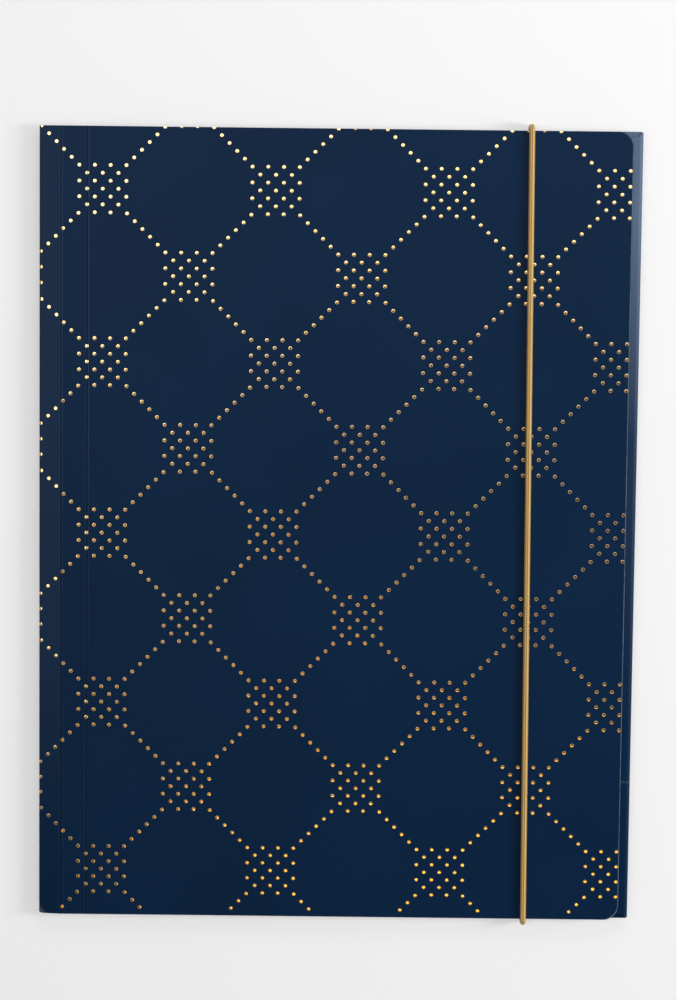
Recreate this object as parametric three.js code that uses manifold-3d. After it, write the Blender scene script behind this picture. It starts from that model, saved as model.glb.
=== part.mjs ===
// A closed A4 card folder with three inner flaps and an upright elastic cord.
// It lies flat on its back cover. All lengths are millimetres.
// X runs from the spine fold (left) to the open side (right), Y up the page, Z towards the front cover.
// The origin is under the middle of the folder, on the surface it lies on.
import * as THREE from 'three';
import { mergeVertices } from 'three/addons/utils/BufferGeometryUtils.js';
import Module from 'manifold-3d';

const wasm = await Module();
wasm.setup();

// Driving dimensions: the card
const folderWidth = 240;
const folderHeight = 319;
const cardThickness = 0.5;
const coverSetback = 4;
const coverCornerRadius = 6;

// Driving dimensions: the score lines beside the spine fold, measured from the fold
const creasePlaces = [9, 19.5];
const creaseWidth = 0.9;
const creaseHeight = 0.2;
const spineFoldRadius = 1;

// Driving dimensions: the flaps inside the back cover
const endFlapDepth = 60;
const endFlapFromSpine = 22;
const endFlapTaperRun = 36;
const endFlapTaperDrop = 6;
const sideFlapWidth = 100;
const sideFlapTaperDrop = 14;
const flapSideSlope = 0.12;
const mitreGap = 0.3;

// Driving dimensions: what lies between the layers of card
const documentSpace = 1.5;
const layerGap = 0.4;
const hingeGap = 0.3;

// Driving dimensions: the cord and the metal barbs on its ends
const cordDiameter = 2.4;
const cordFromSpineAtTop = 195.5;
const cordFromSpineAtBottom = 197.3;
const cordHoleFromEdge = 15;
const cordHoleDiameter = 4.8;
const seatGap = 0.3;
const barbLength = 12;
const barbWidth = 2.4;
const barbThickness = 0.9;
const clawThickness = 0.4;
const clawWidth = 1.2;

// How finely round stretches are divided
const foldSteps = 8;
const spineFoldSteps = 4;
const cornerSteps = 10;
const holeSides = 24;
const cordSides = 8;
const cordBendSteps = 4;
const cordRunSteps = 6;

// Levels of the layers, from the table up
const cordRadius = cordDiameter / 2;
const backOuter = cordDiameter + seatGap;
const backInner = backOuter + cardThickness;
const endFlapUnder = backInner + documentSpace;
const endFlapTop = endFlapUnder + cardThickness;
const sideFlapUnder = endFlapTop + layerGap;
const sideFlapTop = sideFlapUnder + cardThickness;
const frontInner = sideFlapTop + layerGap;
const frontOuter = frontInner + cardThickness;
const middle = (backOuter + frontOuter) / 2;

// Places across the folder
const spineX = -folderWidth / 2;
const rightX = folderWidth / 2;
const topY = folderHeight / 2;
const coverEdgeX = rightX - coverSetback;
const endFoldRadius = (endFlapTop - backOuter) / 2;
const sideFoldRadius = (sideFlapTop - backOuter) / 2;
const halfCard = cardThickness / 2;

// Reach of the cutting outlines past the levels that they cut, and of a claw into the barb's bar
const cutReach = 1;
const clawSink = 0.5;

// Corners nearer to each other than this are one corner
const mergeDistance = 1e-5;

const navyCard = { color: 0x16304f, roughness: 0.45, metalness: 0, flatShading: true };
const goldCord = { color: 0x9c7b3f, roughness: 0.7, metalness: 0 };
const plainSteel = { color: 0xb9bcc0, roughness: 0.35, metalness: 1, flatShading: true };

// The two ways a profile is pulled out into a solid
const alongX = new THREE.Matrix4().makeBasis(
  new THREE.Vector3(0, 1, 0),
  new THREE.Vector3(0, 0, 1),
  new THREE.Vector3(1, 0, 0),
);
const alongY = new THREE.Matrix4().makeBasis(
  new THREE.Vector3(1, 0, 0),
  new THREE.Vector3(0, 0, 1),
  new THREE.Vector3(0, -1, 0),
);

// A closed geometry as a solid that can be joined and cut
function toSolid(geometry) {
  const bare = geometry.clone();
  bare.deleteAttribute('normal');
  bare.deleteAttribute('uv');
  const merged = mergeVertices(bare, mergeDistance);
  return new wasm.Manifold(new wasm.Mesh({
    numProp: 3,
    vertProperties: new Float32Array(merged.attributes.position.array),
    triVerts: new Uint32Array(merged.index.array),
  }));
}

// A solid as a geometry for a mesh
function toGeometry(solid) {
  const mesh = solid.getMesh();
  const geometry = new THREE.BufferGeometry();
  geometry.setAttribute('position', new THREE.BufferAttribute(mesh.vertProperties, 3));
  geometry.setIndex(new THREE.BufferAttribute(mesh.triVerts, 1));
  geometry.computeVertexNormals();
  return geometry;
}

// An XY outline standing between two levels
function upright(outline, low, high) {
  const geometry = new THREE.ExtrudeGeometry(new THREE.Shape(outline), {
    depth: high - low,
    bevelEnabled: false,
  });
  geometry.translate(0, 0, low);
  return toSolid(geometry);
}

// A profile pulled out sideways: its own x and y become the two axes that the basis names
function pulled(profile, basis, from, length) {
  const geometry = new THREE.ExtrudeGeometry(new THREE.Shape(profile), {
    depth: length,
    bevelEnabled: false,
  });
  geometry.translate(0, 0, from);
  geometry.applyMatrix4(basis);
  return toSolid(geometry);
}

// Points on an arc, its two ends included
function arc(centreX, centreY, radius, from, to, steps) {
  const points = [];
  for (let step = 0; step <= steps; step += 1) {
    const angle = from + ((to - from) * step) / steps;
    points.push(new THREE.Vector2(
      centreX + radius * Math.cos(angle),
      centreY + radius * Math.sin(angle),
    ));
  }
  return points;
}

// The outline of a strip of card whose middle line is given
function cardStrip(line) {
  const left = [];
  const right = [];
  line.forEach((point, index) => {
    const before = line[Math.max(index - 1, 0)];
    const after = line[Math.min(index + 1, line.length - 1)];
    const arriving = point.clone().sub(index > 0 ? before : point);
    const leaving = (index < line.length - 1 ? after : point).clone().sub(point);
    const first = index > 0 ? arriving.normalize() : leaving.clone().normalize();
    const second = index < line.length - 1 ? leaving.normalize() : first.clone();
    const bisector = first.clone().add(second).normalize();
    const reach = halfCard / bisector.dot(first);
    const normal = new THREE.Vector2(-bisector.y, bisector.x).multiplyScalar(reach);
    left.push(point.clone().add(normal));
    right.push(point.clone().sub(normal));
  });
  return [...left, ...right.reverse()];
}

// The middle line of a cover from the spine fold to its far end. Each score line is a low ridge outside.
// side is 1 for the front cover and -1 for the back cover, whose outer face looks down.
function coverLine(outer, side, endX) {
  const level = outer - side * halfCard;
  const bendRadius = spineFoldRadius - halfCard;
  const bendX = spineX + spineFoldRadius;
  const bend = arc(bendX, 0, bendRadius, Math.PI, Math.PI / 2, spineFoldSteps);
  const line = bend.map((point) => new THREE.Vector2(point.x, middle + side * point.y));
  line[0].y = middle + (side * hingeGap) / 2;
  creasePlaces.forEach((place) => {
    const x = spineX + place;
    line.push(new THREE.Vector2(x - creaseWidth / 2, level));
    line.push(new THREE.Vector2(x, level + side * creaseHeight));
    line.push(new THREE.Vector2(x + creaseWidth / 2, level));
  });
  line.push(new THREE.Vector2(endX, level));
  return line;
}

// The middle line of a flap: out along the back cover, round the fold and back at its own level.
// foldAt is the outermost place of the fold, and both ends reach back to inner places.
function flapLine(foldAt, radius, coverFrom, flapTo) {
  const bendX = foldAt - radius;
  const bend = arc(bendX, backOuter + radius, radius - halfCard, -Math.PI / 2, Math.PI / 2, foldSteps);
  const start = new THREE.Vector2(coverFrom, backOuter + halfCard);
  const end = new THREE.Vector2(flapTo, backOuter + 2 * radius - halfCard);
  return [start, ...bend, end];
}

// Where the cord crosses a given height, measured along X
function cordX(y) {
  const share = (topY - y) / folderHeight;
  return spineX + cordFromSpineAtTop + (cordFromSpineAtBottom - cordFromSpineAtTop) * share;
}

// The front leaf of the sheet: spine strips, score lines and rounded free corners
function frontCover() {
  const profile = cardStrip(coverLine(frontOuter, 1, coverEdgeX));
  const sheet = pulled(profile, alongY, -topY, folderHeight);
  const cornerX = coverEdgeX - coverCornerRadius;
  const cornerY = topY - coverCornerRadius;
  const outline = [
    new THREE.Vector2(spineX - cutReach, -topY),
    ...arc(cornerX, -cornerY, coverCornerRadius, -Math.PI / 2, 0, cornerSteps),
    ...arc(cornerX, cornerY, coverCornerRadius, 0, Math.PI / 2, cornerSteps),
    new THREE.Vector2(spineX - cutReach, topY),
  ];
  return sheet.intersect(upright(outline, middle - cutReach, frontOuter + cutReach));
}

// The flat leaf of the back cover, stopped where its folds begin
function backLeaf() {
  const flatEndX = rightX - sideFoldRadius;
  const flatEndY = topY - endFoldRadius;
  const profile = cardStrip(coverLine(backOuter, -1, flatEndX));
  const sheet = pulled(profile, alongY, -topY, folderHeight);
  const flapStartX = spineX + endFlapFromSpine;
  const outline = [
    new THREE.Vector2(spineX - cutReach, -topY),
    new THREE.Vector2(flapStartX, -topY),
    new THREE.Vector2(flapStartX, -flatEndY),
    new THREE.Vector2(rightX, -flatEndY),
    new THREE.Vector2(rightX, flatEndY),
    new THREE.Vector2(flapStartX, flatEndY),
    new THREE.Vector2(flapStartX, topY),
    new THREE.Vector2(spineX - cutReach, topY),
  ];
  return sheet.intersect(upright(outline, backOuter - cutReach, middle + cutReach));
}

// The flap along the top edge, with tapered ends; the bottom one is its mirror image
function endFlap(side) {
  const innerY = topY - 2 * endFoldRadius;
  const freeY = topY - endFlapDepth;
  const profile = cardStrip(flapLine(topY, endFoldRadius, innerY, freeY));
  const band = pulled(profile, alongX, spineX, folderWidth);
  const leftX = spineX + endFlapFromSpine;
  const shoulder = endFlapDepth - endFlapTaperDrop;
  const slant = shoulder * flapSideSlope;
  const clearX = rightX - sideFoldRadius - mitreGap;
  const clearY = topY - sideFoldRadius;
  const outline = [
    new THREE.Vector2(leftX, topY),
    new THREE.Vector2(leftX, innerY),
    new THREE.Vector2(leftX + slant, topY - shoulder),
    new THREE.Vector2(leftX + slant + endFlapTaperRun, freeY),
    new THREE.Vector2(clearX - endFlapTaperRun, freeY),
    new THREE.Vector2(clearX, topY - shoulder),
    new THREE.Vector2(clearX, clearY),
    new THREE.Vector2(rightX - mitreGap, topY),
  ];
  const flap = band.intersect(upright(outline, backOuter - cutReach, endFlapTop + cutReach));
  return side > 0 ? flap : flap.mirror([0, 1, 0]);
}

// The flap along the open side, folded over the two end flaps
function sideFlap() {
  const innerX = rightX - 2 * sideFoldRadius;
  const freeX = rightX - sideFlapWidth;
  const profile = cardStrip(flapLine(rightX, sideFoldRadius, innerX, freeX));
  const band = pulled(profile, alongY, -topY, folderHeight);
  const foldX = rightX - sideFoldRadius;
  const foldY = topY - sideFoldRadius - mitreGap;
  const freeY = foldY - sideFlapTaperDrop;
  const outline = [
    new THREE.Vector2(freeX, -freeY),
    new THREE.Vector2(foldX, -foldY),
    new THREE.Vector2(rightX, -(topY - mitreGap)),
    new THREE.Vector2(rightX, topY - mitreGap),
    new THREE.Vector2(foldX, foldY),
    new THREE.Vector2(freeX, freeY),
  ];
  return band.intersect(upright(outline, backOuter - cutReach, sideFlapTop + cutReach));
}

// A round hole through the back cover for the cord
function cordHole(y) {
  const outline = arc(cordX(y), y, cordHoleDiameter / 2, 0, 2 * Math.PI, holeSides).slice(0, holeSides);
  return upright(outline, backOuter - cutReach, backInner + cutReach);
}

// The back cover and its three flaps are one folded sheet
function backCover() {
  const holeY = topY - cordHoleFromEdge;
  return backLeaf()
    .add(endFlap(1))
    .add(endFlap(-1))
    .add(sideFlap())
    .subtract(cordHole(holeY))
    .subtract(cordHole(-holeY));
}

// The steps of this route fall on its own points, so that a tight bend gets as many as a long run
class SteppedRoute extends THREE.Curve {
  constructor(points) {
    super();
    this.points = points;
  }

  getPoint(share, target = new THREE.Vector3()) {
    const place = share * (this.points.length - 1);
    const index = Math.min(Math.floor(place), this.points.length - 2);
    return target.lerpVectors(this.points[index], this.points[index + 1], place - index);
  }

  getUtoTmapping(share) {
    return share;
  }
}

// Half of the cord's route, from the hole near the top edge to the middle of the front cover, as (y, z)
function halfRoute() {
  const bendRadius = cordRadius + seatGap;
  const holeY = topY - cordHoleFromEdge;
  const low = cordRadius;
  const high = frontOuter + seatGap + cordRadius;
  return [
    new THREE.Vector2(holeY, backInner),
    ...arc(holeY + bendRadius, low + bendRadius, bendRadius, Math.PI, 1.5 * Math.PI, cordBendSteps),
    ...arc(topY, low + bendRadius, bendRadius, 1.5 * Math.PI, 2 * Math.PI, cordBendSteps),
    ...arc(topY, high - bendRadius, bendRadius, 0, Math.PI / 2, cordBendSteps),
  ];
}

// The cord runs from one hole round the top edge, down the front and round the bottom edge to the other
function elasticCord() {
  const upper = halfRoute();
  const front = [];
  const frontLevel = upper[upper.length - 1].y;
  for (let step = 1; step < cordRunSteps; step += 1) {
    front.push(new THREE.Vector2(topY - (folderHeight * step) / cordRunSteps, frontLevel));
  }
  const lower = halfRoute().reverse().map((point) => new THREE.Vector2(-point.x, point.y));
  const route = [...upper, ...front, ...lower].map((point) => (
    new THREE.Vector3(cordX(point.x), point.x, point.y)
  ));
  const section = arc(0, 0, cordRadius, 0, 2 * Math.PI, cordSides).slice(0, cordSides);
  return new THREE.ExtrudeGeometry(new THREE.Shape(section), {
    steps: route.length - 1,
    extrudePath: new SteppedRoute(route),
    bevelEnabled: false,
  });
}

// A metal barb: a flat bar across the hole inside the cover, with two claws that grip the cord's end
function cordBarb(y) {
  const x = cordX(y);
  const under = backInner + seatGap;
  const roundRadius = barbWidth / 2;
  const roundX = barbLength / 2 - roundRadius;
  const outline = [
    ...arc(x + roundX, y, roundRadius, -Math.PI / 2, Math.PI / 2, foldSteps),
    ...arc(x - roundX, y, roundRadius, Math.PI / 2, 1.5 * Math.PI, foldSteps),
  ];
  let barb = upright(outline, under, under + barbThickness);
  [-1, 1].forEach((side) => {
    const clawInner = cordRadius + seatGap;
    const clawTop = under + clawSink;
    const claw = new THREE.BoxGeometry(clawThickness, clawWidth, clawTop - backOuter);
    claw.translate(
      x + side * (clawInner + clawThickness / 2),
      y,
      (clawTop + backOuter) / 2,
    );
    barb = barb.add(toSolid(claw));
  });
  return barb;
}

const group = new THREE.Group();

function addPiece(name, geometry, look) {
  const mesh = new THREE.Mesh(geometry, new THREE.MeshStandardMaterial(look));
  mesh.name = name;
  group.add(mesh);
}

const barbY = topY - cordHoleFromEdge;
addPiece('front_cover', toGeometry(frontCover()), navyCard);
addPiece('back_cover_with_flaps', toGeometry(backCover()), navyCard);
addPiece('elastic_cord', elasticCord(), goldCord);
addPiece('upper_cord_barb', toGeometry(cordBarb(barbY)), plainSteel);
addPiece('lower_cord_barb', toGeometry(cordBarb(-barbY)), plainSteel);

export default group;
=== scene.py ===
import bisect
import math
import random

import bmesh
import bpy
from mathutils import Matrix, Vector


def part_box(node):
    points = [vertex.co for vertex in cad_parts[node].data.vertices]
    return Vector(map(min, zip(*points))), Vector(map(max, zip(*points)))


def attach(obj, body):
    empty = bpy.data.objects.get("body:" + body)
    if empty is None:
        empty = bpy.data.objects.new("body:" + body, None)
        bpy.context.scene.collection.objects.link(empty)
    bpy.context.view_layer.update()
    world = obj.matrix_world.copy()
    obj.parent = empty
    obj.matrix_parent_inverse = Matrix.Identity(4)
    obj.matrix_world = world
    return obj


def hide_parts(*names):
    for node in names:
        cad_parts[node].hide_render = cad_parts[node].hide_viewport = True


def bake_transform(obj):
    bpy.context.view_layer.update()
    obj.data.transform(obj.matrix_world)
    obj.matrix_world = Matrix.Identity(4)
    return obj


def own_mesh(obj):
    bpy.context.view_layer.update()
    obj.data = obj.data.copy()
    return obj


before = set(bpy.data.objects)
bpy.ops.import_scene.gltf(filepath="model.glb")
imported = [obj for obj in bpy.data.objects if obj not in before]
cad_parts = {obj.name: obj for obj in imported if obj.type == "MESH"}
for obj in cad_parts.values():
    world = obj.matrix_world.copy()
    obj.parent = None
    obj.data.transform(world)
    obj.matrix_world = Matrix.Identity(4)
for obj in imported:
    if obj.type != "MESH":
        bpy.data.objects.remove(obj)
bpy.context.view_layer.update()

random.seed(7)

MM = 0.001

# The card and its places, taken from the solids
FRONT_LOW, FRONT_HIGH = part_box("front_cover")
BACK_LOW, BACK_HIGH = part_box("back_cover_with_flaps")
CORD_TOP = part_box("elastic_cord")[1].z
SPINE_X = FRONT_LOW.x
COVER_EDGE_X = FRONT_HIGH.x
RIGHT_X = BACK_HIGH.x
TOP_Y = FRONT_HIGH.y
CARD = 0.5 * MM
FRONT_SLANT = 0.15 * MM
CREASE_HEIGHT = 0.2 * MM
FRONT_OUTER = FRONT_HIGH.z - CREASE_HEIGHT
BACK_OUTER = BACK_LOW.z + CREASE_HEIGHT
MIDDLE = (FRONT_OUTER + BACK_OUTER) / 2
SIDE_FLAP_TOP = BACK_HIGH.z
LAYER_GAP = FRONT_OUTER - CARD - SIDE_FLAP_TOP
END_FLAP_TOP = SIDE_FLAP_TOP - CARD - LAYER_GAP
END_FOLD_RADIUS = (END_FLAP_TOP - BACK_OUTER) / 2
SIDE_FOLD_RADIUS = (SIDE_FLAP_TOP - BACK_OUTER) / 2

# Sizes of the card that the solids don't give by themselves
CREASE_PLACES = (9 * MM, 19.5 * MM)
CREASE_WIDTH = 0.9 * MM
SPINE_FOLD_RADIUS = 1 * MM
SPINE_FOLD_HALF = math.radians(12)
SPINE_FOLD_LAP = math.radians(3)
CORNER_RADIUS = 6 * MM
CRUSH_REACH = 1.6 * MM
CRUSH_DEPTH = 0.7 * MM
END_FLAP_DEPTH = 60 * MM
END_FLAP_FROM_SPINE = 22 * MM
END_FLAP_TAPER_RUN = 36 * MM
END_FLAP_TAPER_DROP = 6 * MM
SIDE_FLAP_WIDTH = 100 * MM
SIDE_FLAP_TAPER_DROP = 14 * MM
FLAP_SIDE_SLOPE = 0.12
MITRE_GAP = 0.15 * MM
SEAM_FROM_FOLD = 0.5 * MM
FLAP_PRINT_FROM_BOTTOM = 56.3 * MM
FLAP_PRINT_SLOPE = 0.17
FLAP_PRINT_WIDTH = 1.2 * MM
FLAP_PRINT_HEIGHT = 0.15 * MM
WAVE_DEPTH = 0.22 * MM
FLAT_BEFORE = 0.1
HOLE_SIDES = 32

# How finely the sheets are divided, along their lines and across them
SPINE_FOLD_STEPS = 10
SLANT_STEPS = 6
CREASE_STEPS = 8
COVER_STEPS = 60
CORNER_STEPS = 16
BACK_STEPS = 50
FLAP_FOLD_STEPS = 16
FLAP_STEPS = 30
FRONT_ACROSS_STEPS = 60
BACK_ACROSS_STEPS = 40
SIDE_FLAP_ACROSS_STEPS = 120

# The foil dots: a lattice of clusters joined by diagonal chains
LATTICE_STEP = 3.129 * MM
FIRST_CLUSTER_FROM_SPINE = 8.29 * LATTICE_STEP
FIRST_CLUSTER_FROM_TOP = 7.927 * LATTICE_STEP
CLUSTER_SPACING = 11
CLUSTER_COLUMNS = range(-8, 9)
CLUSTER_ROWS = range(-2, 11)
CORNER_SHIFT = 0.1
CHAIN_START = 3 + CORNER_SHIFT
CHAIN_END = 8
CHAIN_STEPS = 5
DOT_RADIUS = 0.76 * MM
DOT_HEIGHT = 0.025 * MM
DOT_SIDES = 14
DOT_RINGS = (0.4, 0.62, 0.8, 0.92, 1.0)
DOT_SINK = 0.02 * MM
DOT_TILT = 0.004
PRINT_MARGIN = 0.02 * MM

# The cord
SEAT_GAP = 0.3 * MM
CORD_RADIUS = (CORD_TOP - FRONT_OUTER - SEAT_GAP) / 2
CORD_FROM_SPINE_TOP = 195.5 * MM
CORD_FROM_SPINE_BOTTOM = 197.3 * MM
CORD_HOLE_FROM_EDGE = 15 * MM
CORD_HOLE_RADIUS = 2.4 * MM
CORD_SETTLE = 0.2 * MM
CORD_SIDES = 36
CORD_RIBS = 6
CORD_STITCH = 0.85 * MM
CORD_STITCH_DEPTH = 0.05 * MM
CORD_BEND_STEPS = 10
CORD_LEG_STEPS = 60
CORD_RUN_STEPS = 1500

# Colours of the print, of its wear and marks, and of the light and shade painted on it
NAVY_DARK = (0.0003, 0.0122, 0.0400)
NAVY_LIGHT = (0.0007, 0.0142, 0.0460)
RIM_WEAR = (0.20, 0.26, 0.32)
SPINE_WEAR = (0.34, 0.32, 0.22)
# Painted light: a pale tint for the lighter strip beside the spine fold and for the highlights beside the
# score lines
PAINTED_PALE_LIGHT = (0.10, 0.16, 0.26)
# Painted shade in the score lines
PAINTED_CREASE_SHADE = (0.0, 0.003, 0.012)
# Painted light on the bare strip's fold
PAINTED_FOLD_LIGHT = (0.085, 0.125, 0.200)
# A pale line along the flap's edge
FLAP_EDGE_PALE_LINE = (0.12, 0.20, 0.28)
CORNER_SCUFF = (0.16, 0.18, 0.20)

# Colours and finish of the foil, the yarn, the steel and the floor
FOIL_DARK = (0.88, 0.56, 0.20)
FOIL_LIGHT = (1.0, 0.66, 0.26)
FOIL_RIM = (0.42, 0.37, 0.29)
FOIL_ROUGHNESS = 0.14
FOIL_RIM_ROUGHNESS = 0.5
# The yarn's own colour on its ridges; the two darker colours are painted shade, deeper the further into a
# groove
YARN_RIDGE = (0.66, 0.42, 0.12)
YARN_SIDE_PAINTED_SHADE = (0.40, 0.24, 0.066)
YARN_GROOVE_PAINTED_SHADE = (0.10, 0.052, 0.012)
STEEL = (0.62, 0.63, 0.65)
FLOOR = (0.40, 0.40, 0.405)
FLOOR_GLOW = (0.9, 0.9, 0.91)
FLOOR_GLOW_STRENGTH = 0.49
BUMP_DEPTH = 0.1 * MM

# The camera, fitted to the photograph: millimetres of sensor, metres, and degrees of turn
SENSOR = 36
FOCAL_SHARE = 3.154
CAMERA_PLACE = (-0.0019, 0.1494, 1.2662)
CAMERA_TURN = (-6.26, -0.033, 0.631)


def make_camera():
    """The camera at the photograph's viewing angle."""
    data = bpy.data.cameras.new("camera")
    data.sensor_fit = "VERTICAL"
    data.sensor_height = SENSOR
    data.sensor_width = SENSOR
    data.lens = FOCAL_SHARE * SENSOR
    data.clip_start = 0.01
    data.clip_end = 20
    camera = bpy.data.objects.new("camera", data)
    camera.location = CAMERA_PLACE
    camera.rotation_euler = [math.radians(turn) for turn in CAMERA_TURN]
    bpy.context.scene.collection.objects.link(camera)
    bpy.context.scene.camera = camera


def nodes_of(material):
    material.use_nodes = True
    tree = material.node_tree
    return tree, tree.nodes["Principled BSDF"]


def add_node(tree, kind, **values):
    node = tree.nodes.new(kind)
    for name, value in values.items():
        if name in node.inputs:
            node.inputs[name].default_value = value
        else:
            setattr(node, name, value)
    return node


def object_place(tree):
    return tree.nodes.new("ShaderNodeTexCoord").outputs["Object"]


def ramp(tree, source, *stops):
    """A colour ramp over the given (place, colour) stops."""
    node = tree.nodes.new("ShaderNodeValToRGB")
    elements = node.color_ramp.elements
    while len(elements) < len(stops):
        elements.new(0.5)
    for element, (place, colour) in zip(elements, stops):
        element.position = place
        element.color = (*colour, 1)
    tree.links.new(source, node.inputs["Fac"])
    return node.outputs["Color"]


def spread(tree, source, from_min, from_max, to_max=1.0):
    """A share that rises from 0 to to_max between two values of a source."""
    node = add_node(tree, "ShaderNodeMapRange")
    node.inputs["From Min"].default_value = from_min
    node.inputs["From Max"].default_value = from_max
    node.inputs["To Max"].default_value = to_max
    tree.links.new(source, node.inputs["Value"])
    return node.outputs["Result"]


def near(tree, source, centre, reach, share):
    """A share that is highest where a source is at the centre and 0 beyond the reach."""
    offset = add_node(tree, "ShaderNodeMath", operation="SUBTRACT")
    offset.inputs[1].default_value = centre
    tree.links.new(source, offset.inputs[0])
    distance = add_node(tree, "ShaderNodeMath", operation="ABSOLUTE")
    tree.links.new(offset.outputs["Value"], distance.inputs[0])
    return spread(tree, distance.outputs["Value"], reach, 0.3 * reach, share)


def product(tree, first, second):
    node = add_node(tree, "ShaderNodeMath", operation="MULTIPLY")
    tree.links.new(first, node.inputs[0])
    tree.links.new(second, node.inputs[1])
    return node.outputs["Value"]


def tinted(tree, colour, tint, share):
    """A colour with a share of a plain tint over it."""
    node = add_node(tree, "ShaderNodeMix", data_type="RGBA")
    node.inputs["B"].default_value = (*tint, 1)
    tree.links.new(share, node.inputs["Factor"])
    tree.links.new(colour, node.inputs["A"])
    return node.outputs["Result"]


def noise(tree, place, scale, detail, roughness):
    """The share of a mottled noise at each place."""
    node = add_node(tree, "ShaderNodeTexNoise", Scale=scale, Detail=detail, Roughness=roughness)
    tree.links.new(place, node.inputs["Vector"])
    return node.outputs["Fac"]


def relief(tree, shader, height, strength):
    """Gives a shader the fine relief of a height."""
    bump = add_node(tree, "ShaderNodeBump", Strength=strength, Distance=BUMP_DEPTH)
    tree.links.new(height, bump.inputs["Height"])
    tree.links.new(bump.outputs["Normal"], shader.inputs["Normal"])


def corner_reach(tree, place, corner_x, corner_y):
    """How far outside a rectangle's corner square a place is, the same for both ends of the page."""
    folded = add_node(tree, "ShaderNodeVectorMath", operation="ABSOLUTE")
    tree.links.new(place, folded.inputs[0])
    inward = add_node(tree, "ShaderNodeVectorMath", operation="SUBTRACT")
    inward.inputs[1].default_value = (corner_x, corner_y, 0)
    tree.links.new(folded.outputs["Vector"], inward.inputs[0])
    outside = add_node(tree, "ShaderNodeVectorMath", operation="MAXIMUM")
    outside.inputs[1].default_value = (0, 0, 0)
    tree.links.new(inward.outputs["Vector"], outside.inputs[0])
    flat = add_node(tree, "ShaderNodeVectorMath", operation="MULTIPLY")
    flat.inputs[1].default_value = (1, 1, 0)
    tree.links.new(outside.outputs["Vector"], flat.inputs[0])
    length = add_node(tree, "ShaderNodeVectorMath", operation="LENGTH")
    tree.links.new(flat.outputs["Vector"], length.inputs[0])
    return length.outputs["Value"]


def front_wear_and_painted_light(tree, colour, x, y, reach, speck):
    """Wear of the front cover at its free rim and its spine edge, and painted light and shade: the strip
    beside the spine fold painted lighter, painted shade in the score lines, and a painted highlight beside
    each.
    """
    corner_x = COVER_EDGE_X - CORNER_RADIUS
    at_rim = spread(tree, reach, CORNER_RADIUS - 0.35 * MM, CORNER_RADIUS - 0.15 * MM)
    at_free_side = spread(tree, x, corner_x, COVER_EDGE_X - 2 * MM, 0.55)
    uneven = spread(tree, speck, 0.1, 0.55)
    worn = product(tree, product(tree, at_rim, at_free_side), uneven)
    colour = tinted(tree, colour, RIM_WEAR, worn)
    at_spine = spread(tree, x, SPINE_X + 0.35 * MM, SPINE_X + 0.1 * MM, 0.6)
    patchy = spread(tree, speck, 0.35, 0.6)
    colour = tinted(tree, colour, SPINE_WEAR, product(tree, at_spine, patchy))
    # Painted light: the strip between the spine fold and the first score line is painted a little lighter,
    # except near the bottom end.
    first_crease = SPINE_X + CREASE_PLACES[0]
    first_strip = spread(tree, x, first_crease, first_crease - 0.6 * MM, 0.045)
    above_end = spread(tree, y, -130 * MM, -50 * MM)
    colour = tinted(tree, colour, PAINTED_PALE_LIGHT, product(tree, first_strip, above_end))
    # Painted shade in each score line, strongest in the lower part of the page and none near the top, and a
    # painted highlight just to the left of it.
    lower_half = spread(tree, y, 90 * MM, -60 * MM)
    for crease in CREASE_PLACES:
        in_crease = near(tree, x, SPINE_X + crease + 0.05 * MM, 0.5 * MM, 0.65)
        colour = tinted(tree, colour, PAINTED_CREASE_SHADE, product(tree, in_crease, lower_half))
        beside = near(tree, x, SPINE_X + crease - 0.65 * MM, 0.45 * MM, 0.05)
        colour = tinted(tree, colour, PAINTED_PALE_LIGHT, beside)
    return colour


def back_fold_light_and_flap_line(tree, colour, place, x, y, reach):
    """Marks on the strip that the front cover leaves bare: painted light on its fold, lighter towards the
    top, and a pale line where the flap's edge lies under it.
    """
    corner_x = COVER_EDGE_X - CORNER_RADIUS
    past_cover = spread(tree, reach, CORNER_RADIUS - 0.1 * MM, CORNER_RADIUS + 0.2 * MM)
    at_open_side = spread(tree, x, corner_x, corner_x + 2 * MM)
    on_open_side = product(tree, past_cover, at_open_side)
    # Painted light: the bare strip beside the front cover's open side is painted lighter towards the top of
    # its fold.
    for start, end, share in ((-80, 10, 0.09), (35, 125, 0.85)):
        up_fold = spread(tree, y, start * MM, end * MM, share)
        colour = tinted(tree, colour, PAINTED_FOLD_LIGHT, product(tree, on_open_side, up_fold))
    # A pale line on the bare strip along where the bottom flap's slanting edge lies under the side flap.
    along_print = add_node(tree, "ShaderNodeVectorMath", operation="DOT_PRODUCT")
    along_print.inputs[1].default_value = (FLAP_PRINT_SLOPE, 1, 0)
    tree.links.new(place, along_print.inputs[0])
    print_at = FLAP_PRINT_FROM_BOTTOM - TOP_Y + RIGHT_X * FLAP_PRINT_SLOPE
    on_print = near(tree, along_print.outputs["Value"], print_at, 0.6 * MM, 0.12)
    on_strip = spread(tree, x, RIGHT_X - 5.5 * MM, RIGHT_X - 4.5 * MM)
    return tinted(tree, colour, FLAP_EDGE_PALE_LINE, product(tree, on_print, on_strip))


def corner_scuff(tree, colour, place, speck):
    """The scuffed lower corner at the spine fold."""
    distance = add_node(tree, "ShaderNodeVectorMath", operation="DISTANCE")
    distance.inputs[1].default_value = (SPINE_X, -TOP_Y, MIDDLE)
    tree.links.new(place, distance.inputs[0])
    near_corner = spread(tree, distance.outputs["Value"], 3.2 * MM, 1.6 * MM, 0.5)
    patchy = spread(tree, speck, 0.35, 0.6)
    return tinted(tree, colour, CORNER_SCUFF, product(tree, near_corner, patchy))


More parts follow.
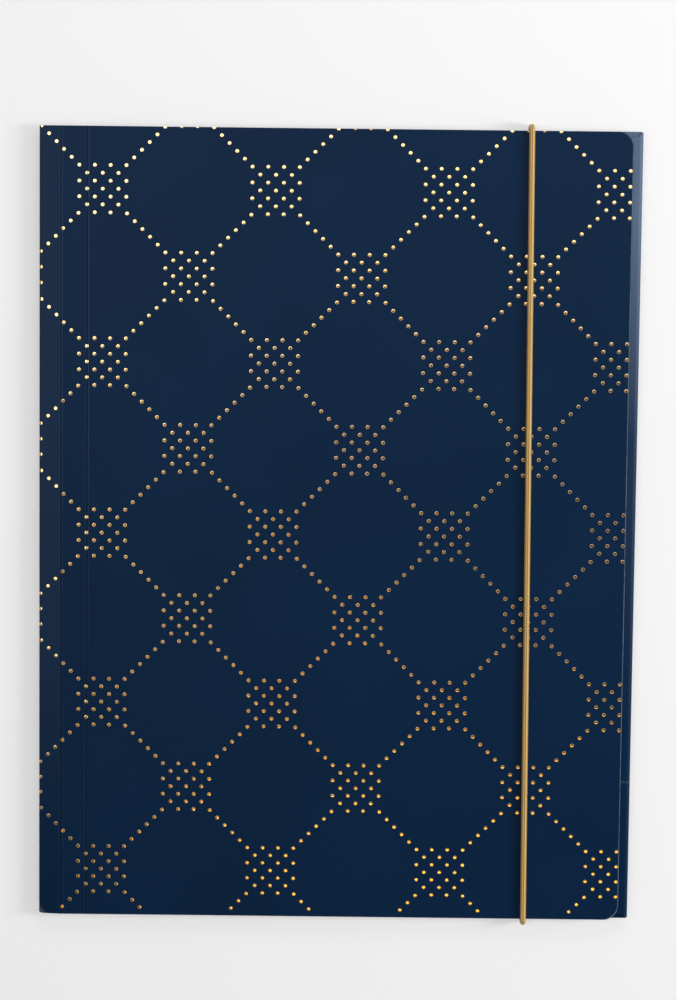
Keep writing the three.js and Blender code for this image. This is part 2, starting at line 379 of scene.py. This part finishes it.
def printed_card(name, side):
    """Navy print on card, with its slight wear, and with painted light and shade on its strips, score lines
    and fold. side is 1 for the front cover, -1 for the back.
    """
    material = bpy.data.materials.new(name)
    tree, shader = nodes_of(material)
    place = object_place(tree)
    split = tree.nodes.new("ShaderNodeSeparateXYZ")
    tree.links.new(place, split.inputs["Vector"])
    x, y = split.outputs["X"], split.outputs["Y"]
    shader.inputs["Roughness"].default_value = 0.4
    shader.inputs["Specular IOR Level"].default_value = 0.075
    cloud = noise(tree, place, 14.0, 3.0, 0.5)
    colour = ramp(tree, cloud, (0.3, NAVY_DARK), (0.7, NAVY_LIGHT))
    speck = noise(tree, place, 350.0, 3.0, 0.6)
    reach = corner_reach(tree, place, COVER_EDGE_X - CORNER_RADIUS, TOP_Y - CORNER_RADIUS)
    if side > 0:
        colour = front_wear_and_painted_light(tree, colour, x, y, reach, speck)
    else:
        colour = back_fold_light_and_flap_line(tree, colour, place, x, y, reach)
    colour = corner_scuff(tree, colour, place, speck)
    tree.links.new(colour, shader.inputs["Base Color"])
    relief(tree, shader, noise(tree, place, 900.0, 4.0, 0.65), 0.12)
    return material


def bare_card(name, light, dark):
    """Uncoated card: the inside of the sheet, or the core that shows at a cut edge."""
    material = bpy.data.materials.new(name)
    tree, shader = nodes_of(material)
    place = object_place(tree)
    shader.inputs["Roughness"].default_value = 0.85
    shader.inputs["Specular IOR Level"].default_value = 0.2
    fibre = noise(tree, place, 420.0, 6.0, 0.7)
    tree.links.new(ramp(tree, fibre, (0.3, dark), (0.7, light)), shader.inputs["Base Color"])
    relief(tree, shader, fibre, 0.3)
    return material


def gold_foil():
    """Hot-stamped gold foil, duller at the rim of each dot, with the card's fine unevenness."""
    material = bpy.data.materials.new("gold_foil")
    tree, shader = nodes_of(material)
    place = object_place(tree)
    shader.inputs["Metallic"].default_value = 1.0
    cloud = noise(tree, place, 60.0, 2.0, 0.5)
    colour = ramp(tree, cloud, (0.3, FOIL_DARK), (0.7, FOIL_LIGHT))
    rim = add_node(tree, "ShaderNodeAttribute", attribute_name="rim")
    duller = spread(tree, rim.outputs["Fac"], 0.65, 0.95, 0.8)
    tree.links.new(tinted(tree, colour, FOIL_RIM, duller), shader.inputs["Base Color"])
    rough = add_node(tree, "ShaderNodeMapRange")
    rough.inputs["From Min"].default_value = 0.7
    rough.inputs["To Min"].default_value = FOIL_ROUGHNESS
    rough.inputs["To Max"].default_value = FOIL_RIM_ROUGHNESS
    tree.links.new(rim.outputs["Fac"], rough.inputs["Value"])
    tree.links.new(rough.outputs["Result"], shader.inputs["Roughness"])
    relief(tree, shader, noise(tree, place, 1500.0, 3.0, 0.6), 0.06)
    return material


def braided_yarn():
    """Gold yarn of the cord's cover: fine fibres along the cord, with painted shade on the sides of its
    ribs, in the grooves between them and between the stitches.
    """
    material = bpy.data.materials.new("gold_yarn")
    tree, shader = nodes_of(material)
    place = object_place(tree)
    shader.inputs["Roughness"].default_value = 0.6
    shader.inputs["Sheen Weight"].default_value = 0.25
    shader.inputs["Sheen Roughness"].default_value = 0.4
    stretch = add_node(tree, "ShaderNodeMapping")
    stretch.inputs["Scale"].default_value = (1.0, 0.25, 1.0)
    tree.links.new(place, stretch.inputs["Vector"])
    fibre = noise(tree, stretch.outputs["Vector"], 5200.0, 3.0, 0.6)
    groove = add_node(tree, "ShaderNodeAttribute", attribute_name="groove")
    # Painted shade: the deeper a place lies in a groove of the braid or between stitches, the darker its
    # colour.
    shade = ramp(tree, groove.outputs["Fac"], (0.0, YARN_RIDGE), (0.55, YARN_SIDE_PAINTED_SHADE), (1.0, YARN_GROOVE_PAINTED_SHADE))
    mix = add_node(tree, "ShaderNodeMix", data_type="RGBA", blend_type="MULTIPLY")
    mix.inputs["Factor"].default_value = 0.5
    tint = ramp(tree, fibre, (0.3, (0.55, 0.52, 0.48)), (0.7, (1.0, 1.0, 1.0)))
    tree.links.new(shade, mix.inputs["A"])
    tree.links.new(tint, mix.inputs["B"])
    tree.links.new(mix.outputs["Result"], shader.inputs["Base Color"])
    relief(tree, shader, fibre, 0.4)
    return material


def stamped_steel():
    """Bright stamped steel with fine rolling marks."""
    material = bpy.data.materials.new("stamped_steel")
    tree, shader = nodes_of(material)
    place = object_place(tree)
    shader.inputs["Metallic"].default_value = 1.0
    shader.inputs["Base Color"].default_value = (*STEEL, 1)
    stretch = add_node(tree, "ShaderNodeMapping")
    stretch.inputs["Scale"].default_value = (0.1, 1.0, 1.0)
    tree.links.new(place, stretch.inputs["Vector"])
    marks = noise(tree, stretch.outputs["Vector"], 700.0, 3.0, 0.6)
    rough = add_node(tree, "ShaderNodeMapRange")
    rough.inputs["To Min"].default_value = 0.25
    rough.inputs["To Max"].default_value = 0.45
    tree.links.new(marks, rough.inputs["Value"])
    tree.links.new(rough.outputs["Result"], shader.inputs["Roughness"])
    relief(tree, shader, marks, 0.1)
    return material


def arc(centre_a, centre_z, radius, start, end, steps):
    """Points on an arc, its two ends included."""
    return [
        (
            centre_a + radius * math.cos(start + (end - start) * step / steps),
            centre_z + radius * math.sin(start + (end - start) * step / steps),
        )
        for step in range(steps + 1)
    ]


def straight(a_from, a_to, z_from, z_to, steps):
    """Points between two places, the first left out."""
    return [
        (
            a_from + (a_to - a_from) * step / steps,
            z_from + (z_to - z_from) * step / steps,
        )
        for step in range(1, steps + 1)
    ]


def cover_line(side, end_x):
    """The middle line of a cover from the spine fold. side is 1 for the front cover, -1 for the back."""
    outer = FRONT_OUTER if side > 0 else BACK_OUTER
    level = outer - side * CARD / 2
    bend_x = SPINE_X + SPINE_FOLD_RADIUS
    radius = SPINE_FOLD_RADIUS - CARD / 2
    bend = arc(bend_x, 0, radius, math.pi - SPINE_FOLD_HALF, math.pi / 2, SPINE_FOLD_STEPS)
    line = [(a, MIDDLE + side * z) for a, z in bend]
    for place in CREASE_PLACES:
        crease_start = SPINE_X + place - CREASE_WIDTH / 2
        line += straight(line[-1][0], crease_start, line[-1][1], level, SLANT_STEPS)
        for step in range(1, CREASE_STEPS + 1):
            share = step / CREASE_STEPS
            rise = CREASE_HEIGHT * math.sin(math.pi * share) ** 2
            line.append((crease_start + CREASE_WIDTH * share, level + side * rise))
    line += straight(line[-1][0], end_x - CORNER_RADIUS, level, level, COVER_STEPS)
    line += straight(line[-1][0], end_x, level, level, CORNER_STEPS)
    return line


def flap_line(fold_at, radius, flap_to):
    """The middle line of a flap, from the flat of the back cover round the fold to its free edge."""
    half_turn = (-math.pi / 2, math.pi / 2)
    fold = arc(fold_at - radius, BACK_OUTER + radius, radius - CARD / 2, *half_turn, FLAP_FOLD_STEPS)
    return fold + straight(fold[-1][0], flap_to, fold[-1][1], fold[-1][1], FLAP_STEPS)


def normals_of(line):
    """The unit normal at each point of a line, on its left."""
    normals = []
    for index in range(len(line)):
        before = line[max(index - 1, 0)]
        after = line[min(index + 1, len(line) - 1)]
        run = Vector((after[0] - before[0], after[1] - before[1])).normalized()
        normals.append((-run.y, run.x))
    return normals


def sheet_mesh(name, leaves, materials):
    """One mesh of several leaves of card. Each leaf is (line, span, place, outer, steps):
    the middle line, span(a) with the two ends across, place(a, across, z), and which side is printed."""
    vertices = []
    faces = []
    kinds = []
    for line, span, place, outer, steps in leaves:
        normals = normals_of(line)
        first = len(vertices)
        for side in (1, -1):
            for (a, z), (na, nz) in zip(line, normals):
                low, high = span(a, z)
                for step in range(steps + 1):
                    across = low + (high - low) * step / steps
                    vertices.append(place(a + side * na * CARD / 2, across, z + side * nz * CARD / 2))
        row = steps + 1
        layer = row * len(line)
        for i in range(len(line) - 1):
            for j in range(steps):
                corner = first + i * row + j
                quad = [corner, corner + 1, corner + row + 1, corner + row]
                faces.append(quad)
                kinds.append(0 if outer > 0 else 1)
                faces.append([v + layer for v in reversed(quad)])
                kinds.append(1 if outer > 0 else 0)
        rim = [first + j for j in range(steps)]
        rim += [first + i * row + steps for i in range(len(line) - 1)]
        rim += [first + (len(line) - 1) * row + j for j in range(steps, 0, -1)]
        rim += [first + i * row for i in range(len(line) - 1, 0, -1)]
        for index, corner in enumerate(rim):
            following = rim[(index + 1) % len(rim)]
            faces.append([following, corner, corner + layer, following + layer])
            kinds.append(2)
    mesh = bpy.data.meshes.new(name)
    mesh.from_pydata([tuple(v) for v in vertices], [], faces)
    for material in materials:
        mesh.materials.append(material)
    mesh.polygons.foreach_set("material_index", kinds)
    mesh.polygons.foreach_set("use_smooth", [kind != 2 for kind in kinds])
    mesh.validate()
    mesh.set_sharp_from_angle(angle=math.radians(30))
    return mesh


def add_piece(name, mesh):
    piece = bpy.data.objects.new(name, mesh)
    bpy.context.scene.collection.objects.link(piece)
    return piece


def front_shear(x):
    """How far the front cover's card slants down the page, as its fold isn't quite square."""
    across = (x - SPINE_X) / (COVER_EDGE_X - SPINE_X)
    return -FRONT_SLANT * max(0.0, across - FLAT_BEFORE)


def front_warp(x, y):
    """How far the front cover's card lies under its flat level, as a new sheet that isn't quite flat."""
    across = (x - SPINE_X) / (COVER_EDGE_X - SPINE_X)
    along = y / TOP_Y
    fade = min(1.0, max(0.0, (across - FLAT_BEFORE) / 0.2))
    wave = 0.5 + 0.5 * math.sin(2.1 * across + 1.3 * along) * math.cos(1.7 * along - 0.6)
    return -WAVE_DEPTH * fade * wave


def flat_warp(x, y):
    return 0.0


def no_shear(x):
    return 0.0


def place_front(x, y, z):
    return (x, y + front_shear(x), z + front_warp(x, y))


def place_along_y(x, y, z):
    return (x, y, z)


def place_top_flap(y, x, z):
    return (x, y, z)


def place_bottom_flap(y, x, z):
    return (x, -y, z)


def place_side_flap(x, y, z):
    """The side flap steps up a little where it lies over the slanting edge of the bottom flap."""
    edge = -TOP_Y + FLAP_PRINT_FROM_BOTTOM - (x - RIGHT_X) * FLAP_PRINT_SLOPE
    share = min(1.0, max(0.0, (y - edge) / FLAP_PRINT_WIDTH + 0.5))
    over = share * share * (3 - 2 * share)
    lifted = z > BACK_OUTER + SIDE_FOLD_RADIUS
    return (x, y, z - (FLAP_PRINT_HEIGHT * over if lifted else 0))


def front_span(x, z):
    inner = COVER_EDGE_X - CORNER_RADIUS
    if x <= inner:
        return -TOP_Y + crushed_corner(x), TOP_Y
    depth = min(1.0, (x - inner) / CORNER_RADIUS)
    half = TOP_Y - CORNER_RADIUS + CORNER_RADIUS * math.sqrt(max(0.0, 1 - depth * depth))
    return -half, half


def crushed_corner(x):
    """How far the lower corner at the spine fold is pressed in."""
    share = max(0.0, 1 - (x - SPINE_X) / CRUSH_REACH)
    return CRUSH_DEPTH * share * share


def back_span(x, z):
    return -TOP_Y + crushed_corner(x), TOP_Y


def flat_span(x, z):
    half = TOP_Y - END_FOLD_RADIUS - SEAM_FROM_FOLD
    return -half, half


def end_flap_span(y, z):
    """The two ends across X of an end flap at a place along its depth."""
    depth = TOP_Y - abs(y)
    left = SPINE_X + END_FLAP_FROM_SPINE
    shoulder = END_FLAP_DEPTH - END_FLAP_TAPER_DROP
    clear = RIGHT_X - SIDE_FOLD_RADIUS - MITRE_GAP
    if depth < SIDE_FOLD_RADIUS:
        right = RIGHT_X - MITRE_GAP - depth
    else:
        right = clear
    if z < BACK_OUTER + END_FOLD_RADIUS:
        left_end = left
    else:
        left_end = left + min(depth, shoulder) * FLAP_SIDE_SLOPE
    over = max(0.0, (depth - shoulder) / END_FLAP_TAPER_DROP)
    return left_end + over * END_FLAP_TAPER_RUN, right - over * END_FLAP_TAPER_RUN


def side_flap_span(x, z):
    depth = RIGHT_X - x
    if depth < SIDE_FOLD_RADIUS:
        half = TOP_Y - MITRE_GAP - depth
    else:
        share = (depth - SIDE_FOLD_RADIUS) / (SIDE_FLAP_WIDTH - SIDE_FOLD_RADIUS)
        half = TOP_Y - SIDE_FOLD_RADIUS - MITRE_GAP - SIDE_FLAP_TAPER_DROP * share
    return -half, half


def closed_shell(name, leaf, materials):
    """One leaf as an object of its own, with its faces pointing out."""
    mesh = sheet_mesh(name, [leaf], materials)
    form = bmesh.new()
    form.from_mesh(mesh)
    bmesh.ops.recalc_face_normals(form, faces=form.faces)
    form.to_mesh(mesh)
    form.free()
    shell = bpy.data.objects.new(name, mesh)
    bpy.context.scene.collection.objects.link(shell)
    return shell


def cut(target, cutter):
    """Cuts a shell with another one, which is used up."""
    modifier = target.modifiers.new("cut", "BOOLEAN")
    modifier.operation = "DIFFERENCE"
    modifier.solver = "MANIFOLD"
    modifier.object = cutter
    modifier.material_mode = "TRANSFER"
    graph = bpy.context.evaluated_depsgraph_get()
    target.data = bpy.data.meshes.new_from_object(target.evaluated_get(graph))
    target.modifiers.clear()
    bpy.data.objects.remove(cutter)


def join(target, others):
    """Brings shells that touch edge to edge into one mesh. The others are used up."""
    form = bmesh.new()
    form.from_mesh(target.data)
    for other in others:
        form.from_mesh(other.data)
        bpy.data.objects.remove(other)
    form.to_mesh(target.data)
    form.free()


def hole_cutter(y, core):
    """A round rod through the back cover at one of the cord's holes."""
    low = BACK_OUTER - MM
    high = BACK_OUTER + CARD + 0.5 * MM
    vertices = []
    for z in (low, high):
        for round_x, round_y in arc(0, 0, CORD_HOLE_RADIUS, 0, 2 * math.pi, HOLE_SIDES)[:-1]:
            vertices.append((cord_x(y) + round_x, y + round_y, z))
    faces = [list(range(HOLE_SIDES - 1, -1, -1)), list(range(HOLE_SIDES, 2 * HOLE_SIDES))]
    for side in range(HOLE_SIDES):
        after = (side + 1) % HOLE_SIDES
        faces.append([side, after, after + HOLE_SIDES, side + HOLE_SIDES])
    mesh = bpy.data.meshes.new("hole")
    mesh.from_pydata(vertices, [], faces)
    mesh.materials.append(core)
    cutter = bpy.data.objects.new("hole", mesh)
    bpy.context.scene.collection.objects.link(cutter)
    return cutter


def make_front_cover(materials):
    leaf = (cover_line(1, COVER_EDGE_X), front_span, place_front, 1, FRONT_ACROSS_STEPS)
    front = closed_shell("front_cover_sheet", leaf, materials)
    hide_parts("front_cover")
    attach(front, "front")


def make_back_cover(materials):
    """The back cover and its three flaps: one folded sheet with two punched holes.
    Its leaves meet on the flat, a little before each fold."""
    flat_end = RIGHT_X - SIDE_FOLD_RADIUS - SEAM_FROM_FOLD
    flap_start = SPINE_X + END_FLAP_FROM_SPINE
    level = BACK_OUTER + CARD / 2
    whole_line = cover_line(-1, flat_end)
    spine_line = [point for point in whole_line if point[0] < flap_start] + [(flap_start, level)]
    flat_line = [(flap_start, level)] + straight(flap_start, flat_end, level, level, BACK_STEPS)
    end_line = flap_line(TOP_Y, END_FOLD_RADIUS, TOP_Y - END_FLAP_DEPTH)
    end_line.insert(0, (TOP_Y - END_FOLD_RADIUS - SEAM_FROM_FOLD, level))
    side_line = flap_line(RIGHT_X, SIDE_FOLD_RADIUS, RIGHT_X - SIDE_FLAP_WIDTH)
    side_line.insert(0, (flat_end, level))
    across = BACK_ACROSS_STEPS
    flat = (flat_line, flat_span, place_along_y, -1, across)
    back = closed_shell("back_cover_sheet", flat, materials)
    hole_y = TOP_Y - CORD_HOLE_FROM_EDGE
    cut(back, hole_cutter(hole_y, materials[-1]))
    cut(back, hole_cutter(-hole_y, materials[-1]))
    leaves = {
        "spine_strips": (spine_line, back_span, place_along_y, -1, across),
        "top_flap": (end_line, end_flap_span, place_top_flap, -1, across),
        "bottom_flap": (end_line, end_flap_span, place_bottom_flap, -1, across),
        "side_flap": (side_line, side_flap_span, place_side_flap, -1, SIDE_FLAP_ACROSS_STEPS),
    }
    others = [closed_shell(name, leaf, materials) for name, leaf in leaves.items()]
    join(back, others)
    back.data.name = "back_cover_sheet"
    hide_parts("back_cover_with_flaps")
    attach(back, "back")


def make_spine_fold(materials):
    """The narrow strip of card round the spine fold, where the card bends when the front cover opens; here
    a fixed arc that neither cover carries.
    """
    radius = SPINE_FOLD_RADIUS - CARD / 2
    reach = SPINE_FOLD_HALF + SPINE_FOLD_LAP
    bend_x = SPINE_X + SPINE_FOLD_RADIUS
    fold = arc(bend_x, MIDDLE, radius, math.pi - reach, math.pi + reach, SPINE_FOLD_STEPS)
    leaf = (fold, back_span, place_along_y, -1, BACK_ACROSS_STEPS)
    strip = closed_shell("spine_fold", leaf, materials)
    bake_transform(strip)


def make_card():
    inside = bare_card("card_inside", (0.80, 0.78, 0.73), (0.70, 0.68, 0.63))
    core = bare_card("card_core", (0.16, 0.19, 0.22), (0.10, 0.12, 0.15))
    front_print = printed_card("navy_print_front", 1)
    make_front_cover((front_print, inside, core))
    make_back_cover((printed_card("navy_print_back", -1), inside, core))
    make_spine_fold((front_print, inside, core))


def cord_x(y):
    share = (TOP_Y - y) / (2 * TOP_Y)
    return SPINE_X + CORD_FROM_SPINE_TOP + (CORD_FROM_SPINE_BOTTOM - CORD_FROM_SPINE_TOP) * share


def surface_line(side, end_x):
    """A cover's outer surface as rows of (distance from the fold, x, z, normal x, normal z)."""
    line = cover_line(side, end_x)
    normals = [(side * na, side * nz) for na, nz in normals_of(line)]
    points = [(a + na * CARD / 2, z + nz * CARD / 2) for (a, z), (na, nz) in zip(line, normals)]
    length = 0.0
    rows = []
    for index, (point, normal) in enumerate(zip(points, normals)):
        if index:
            before = points[index - 1]
            length += math.hypot(point[0] - before[0], point[1] - before[1])
        rows.append((length, *point, *normal))
    return rows


def dot_places():
    """Centres of the foil dots, as (steps right, steps down) from the first cluster's centre."""
    for column in CLUSTER_COLUMNS:
        for row in CLUSTER_ROWS:
            if (column + row) % 2:
                continue
            centre_right = column * CLUSTER_SPACING
            centre_down = row * CLUSTER_SPACING
            for right in (-2, 0, 2):
                for down in (-2, 0, 2):
                    yield centre_right + right, centre_down + down
            for right in (-3, -1, 1, 3):
                for down in (-3, -1, 1, 3):
                    corner = abs(right) == 3 and down == 3
                    shift = CORNER_SHIFT if corner else 0
                    yield (
                        centre_right + right + math.copysign(shift, right),
                        centre_down + down + shift,
                    )
            for side in (-1, 1):
                for step in range(1, CHAIN_STEPS):
                    reach = CHAIN_START + (CHAIN_END - CHAIN_START) * step / CHAIN_STEPS
                    yield centre_right + side * reach, centre_down + reach


def make_dots(name, body, side, end_x, warp, shear, foil):
    """Low domes of foil on one cover, cut off where the print ends."""
    rows = surface_line(side, end_x)
    lengths = [row[0] for row in rows]
    vertices = []
    rims = []
    faces = []

    def on_surface(s, y, lift):
        s = min(max(s, 0.0), lengths[-1] - PRINT_MARGIN)
        y = min(max(y, PRINT_MARGIN - TOP_Y), TOP_Y - PRINT_MARGIN)
        index = min(max(bisect.bisect_right(lengths, s) - 1, 0), len(rows) - 2)
        low, high = rows[index], rows[index + 1]
        share = (s - low[0]) / max(high[0] - low[0], 1e-9)
        x, z, nx, nz = (low[k] + (high[k] - low[k]) * share for k in (1, 2, 3, 4))
        return (x + nx * lift, y + shear(x), z + nz * lift + warp(x, y))

    for right, down in dot_places():
        s = side * (FIRST_CLUSTER_FROM_SPINE + right * LATTICE_STEP)
        y = TOP_Y - FIRST_CLUSTER_FROM_TOP - down * LATTICE_STEP
        tilt_s = random.gauss(0, DOT_TILT)
        tilt_y = random.gauss(0, DOT_TILT)
        height = DOT_HEIGHT * random.uniform(0.85, 1.15)
        past_edge = 0.85 * DOT_RADIUS
        across = -past_edge < s < lengths[-1] + past_edge
        if not (across and DOT_RADIUS / 2 - TOP_Y < y < TOP_Y + past_edge):
            continue
        first = len(vertices)
        vertices.append(on_surface(s, y, height))
        rims.append(0.0)
        rings = [(ring, height * (1 - ring**4)) for ring in DOT_RINGS] + [(1.0, -DOT_SINK)]
        for ring, level in rings:
            for step in range(DOT_SIDES):
                angle = 2 * math.pi * step / DOT_SIDES
                ds = DOT_RADIUS * ring * math.cos(angle)
                dy = DOT_RADIUS * ring * math.sin(angle)
                lift = level + (ds * tilt_s + dy * tilt_y) * (1 - ring)
                vertices.append(on_surface(s + ds, y + dy, lift))
                rims.append(ring)
        for step in range(DOT_SIDES):
            after = (step + 1) % DOT_SIDES
            faces.append((first, first + 1 + step, first + 1 + after))
            for ring in range(len(rings) - 1):
                inner = first + 1 + ring * DOT_SIDES
                outer = inner + DOT_SIDES
                faces.append((inner + step, outer + step, outer + after, inner + after))
    mesh = bpy.data.meshes.new(name)
    mesh.from_pydata(vertices, [], faces)
    attribute = mesh.attributes.new("rim", "FLOAT", "POINT")
    attribute.data.foreach_set("value", rims)
    mesh.materials.append(foil)
    mesh.polygons.foreach_set("use_smooth", [True] * len(mesh.polygons))
    mesh.set_sharp_from_angle(angle=math.radians(30))
    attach(add_piece(name, mesh), body)


def make_all_dots():
    foil = gold_foil()
    make_dots("foil_dots_front", "front", 1, COVER_EDGE_X, front_warp, front_shear, foil)
    make_dots("foil_dots_back", "back", -1, RIGHT_X - SIDE_FOLD_RADIUS, flat_warp, no_shear, foil)


def cord_route():
    """The cord's middle line: out of a hole, round the top edge, down the front, and back to the other."""
    bend = CORD_RADIUS + SEAT_GAP
    hole_y = TOP_Y - CORD_HOLE_FROM_EDGE
    high = FRONT_OUTER + SEAT_GAP + CORD_RADIUS - CORD_SETTLE
    low_bend = CORD_RADIUS + bend
    start = [(hole_y, BACK_OUTER + CARD)]
    start += arc(hole_y + bend, low_bend, bend, math.pi, 1.5 * math.pi, CORD_BEND_STEPS)
    leg = straight(start[-1][0], TOP_Y, CORD_RADIUS, CORD_RADIUS, CORD_LEG_STEPS)
    edge = arc(TOP_Y, low_bend, bend, 1.5 * math.pi, 2 * math.pi, CORD_BEND_STEPS)[1:]
    turn = arc(TOP_Y, high - bend, bend, 0, 0.5 * math.pi, CORD_BEND_STEPS)
    upper = start + leg + edge + turn
    front = straight(TOP_Y, -TOP_Y, high, high, CORD_RUN_STEPS)[:-1]
    lower = [(-y, z) for y, z in reversed(upper)]
    return [Vector((cord_x(y), y, z)) for y, z in upper + front + lower]


def cord_radius_at(angle, place):
    """The cord's radius and how deep in a groove it is: ribs along the cord, with a stitch rhythm."""
    turn = (angle - math.pi / 2) * CORD_RIBS / (2 * math.pi)
    across = 2 * (turn - math.floor(turn)) - 1
    groove = abs(across) ** 3
    rhythm = place / CORD_STITCH + (math.floor(turn) % 2) * 0.5 + 0.35 * abs(across)
    stitch = 0.5 + 0.5 * math.cos(2 * math.pi * rhythm)
    depth = min(1.0, groove + 0.35 * (1 - stitch) ** 2)
    return CORD_RADIUS * (1 - 0.1 * groove) - CORD_STITCH_DEPTH * (1 - stitch), depth


def make_cord():
    route = cord_route()
    vertices = []
    grooves = []
    faces = []
    place = 0.0
    side_axis = Vector((1, 0, 0))
    for index, point in enumerate(route):
        before = route[max(index - 1, 0)]
        after = route[min(index + 1, len(route) - 1)]
        place += (point - before).length
        run = (after - before).normalized()
        across = (side_axis - run * side_axis.dot(run)).normalized()
        out = across.cross(run)
        for step in range(CORD_SIDES):
            angle = 2 * math.pi * step / CORD_SIDES
            radius, groove = cord_radius_at(angle, place)
            round_point = across * (radius * math.cos(angle)) + out * (radius * math.sin(angle))
            vertices.append(point + round_point)
            grooves.append(groove)
    for ring in range(len(route) - 1):
        for step in range(CORD_SIDES):
            corner = ring * CORD_SIDES + step
            after = ring * CORD_SIDES + (step + 1) % CORD_SIDES
            faces.append((corner, corner + CORD_SIDES, after + CORD_SIDES, after))
    last = (len(route) - 1) * CORD_SIDES
    faces.append(tuple(range(CORD_SIDES)))
    faces.append(tuple(last + step for step in reversed(range(CORD_SIDES))))
    mesh = bpy.data.meshes.new("braided_cord")
    mesh.from_pydata([tuple(v) for v in vertices], [], faces)
    attribute = mesh.attributes.new("groove", "FLOAT", "POINT")
    attribute.data.foreach_set("value", grooves)
    mesh.materials.append(braided_yarn())
    mesh.polygons.foreach_set("use_smooth", [True] * len(mesh.polygons))
    cord = add_piece("braided_cord", mesh)
    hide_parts("elastic_cord")
    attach(cord, "back")
    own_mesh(cord)


def finish_barbs():
    steel = stamped_steel()
    for name in ("upper_cord_barb", "lower_cord_barb"):
        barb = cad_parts[name]
        barb.data.materials.clear()
        barb.data.materials.append(steel)


def make_floor():
    mesh = bpy.data.meshes.new("floor")
    reach = 6
    corners = [(-reach, -reach, 0), (reach, -reach, 0), (reach, reach, 0), (-reach, reach, 0)]
    mesh.from_pydata(corners, [], [(0, 1, 2, 3)])
    material = bpy.data.materials.new("pale_floor")
    tree, shader = nodes_of(material)
    shader.inputs["Base Color"].default_value = (*FLOOR, 1)
    shader.inputs["Roughness"].default_value = 0.9
    shader.inputs["Specular IOR Level"].default_value = 0.1
    shader.inputs["Emission Color"].default_value = (*FLOOR_GLOW, 1)
    shader.inputs["Emission Strength"].default_value = FLOOR_GLOW_STRENGTH
    mesh.materials.append(material)
    floor = bpy.data.objects.new("floor", mesh)
    bpy.context.scene.collection.objects.link(floor)


def area_light(name, place, target, size, power, colour=(1, 1, 1)):
    data = bpy.data.lights.new(name, "AREA")
    data.shape = "RECTANGLE"
    data.size, data.size_y = size
    data.energy = power
    data.color = colour
    light = bpy.data.objects.new(name, data)
    light.location = place
    light.rotation_euler = (Vector(target) - Vector(place)).to_track_quat("-Z", "Y").to_euler()
    bpy.context.scene.collection.objects.link(light)


def make_lights():
    overhead = 1.5
    panels = (
        ("top_left_panel", (-0.57, 0.24), (0.86, 0.46), 3.6, (1.0, 0.99, 0.97)),
        ("top_right_panel", (0.28, 0.28), (0.84, 0.38), 3.0, (1.0, 0.97, 0.93)),
        ("left_panel", (-0.62, -0.13), (0.56, 0.32), 2.6, (1.0, 1.0, 1.0)),
        ("warm_panel", (0.135, -0.492), (0.49, 0.10), 4.2, (1.0, 0.64, 0.15)),
        ("dim_panel", (-0.09, -0.257), (0.30, 0.24), 0.5, (1.0, 0.62, 0.27)),
    )
    for name, (x, y), size, radiance, colour in panels:
        power = radiance * math.pi * size[0] * size[1]
        area_light(name, (x, y, overhead), (x, y, 0), size, power, colour)
    area_light("near_top_light", (0.15, 0.65, 0.55), (0.02, 0.1, 0), (0.5, 0.3), 1.9)
    area_light("right_softbox", (1.25, 0.1, 0.75), (0, 0, 0), (0.34, 0.6), 18)
    world = bpy.data.worlds.new("studio")
    bpy.context.scene.world = world
    world.use_nodes = True
    tree = world.node_tree
    background = tree.nodes["Background"]
    place = tree.nodes.new("ShaderNodeTexCoord").outputs["Generated"]
    split = tree.nodes.new("ShaderNodeSeparateXYZ")
    tree.links.new(place, split.inputs["Vector"])
    colour = ramp(
        tree,
        split.outputs["Z"],
        (0.04, (1.0, 1.0, 1.0)),
        (0.14, (0.44, 0.44, 0.44)),
        (0.65, (0.405, 0.405, 0.405)),
        (0.9, (0.054, 0.045, 0.041)),
    )
    tree.links.new(colour, background.inputs["Color"])
    background.inputs["Strength"].default_value = 0.8


make_camera()
make_card()
make_all_dots()
make_cord()
finish_barbs()
make_floor()
make_lights()
bpy.context.scene.view_settings.view_transform = "Standard"
